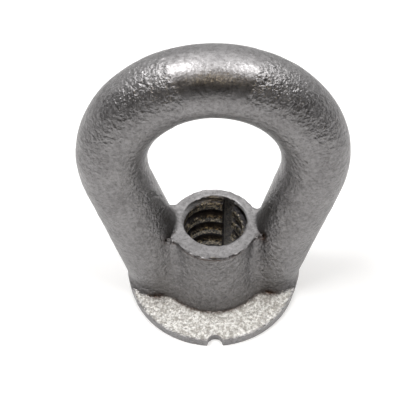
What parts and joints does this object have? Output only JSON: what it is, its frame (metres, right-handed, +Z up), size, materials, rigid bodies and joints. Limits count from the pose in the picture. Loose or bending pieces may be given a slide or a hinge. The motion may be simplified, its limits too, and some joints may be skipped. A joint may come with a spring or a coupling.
{
  "type": "lifting eye nut",
  "caption": "One-piece forged lifting eye on a drafted hub and round flange, with a coarse coil-threaded through bore.",
  "frame": {"origin": "centre of the flange's seating face, on the axis of the bore", "axes": "+Z up the bore towards the crown of the eye, +X across the width of the eye, +Y through the eye towards the back; the witness notch in the rim faces -Y"},
  "size_m": [0.0682, 0.0499, 0.0824],
  "materials": {
    "zinc_plated_forging": "zinc plated over a shot-blasted forged surface"
  },
  "bodies": {
    "root": {"eye_nut": "zinc_plated_forging"}
  },
  "joints": []
}
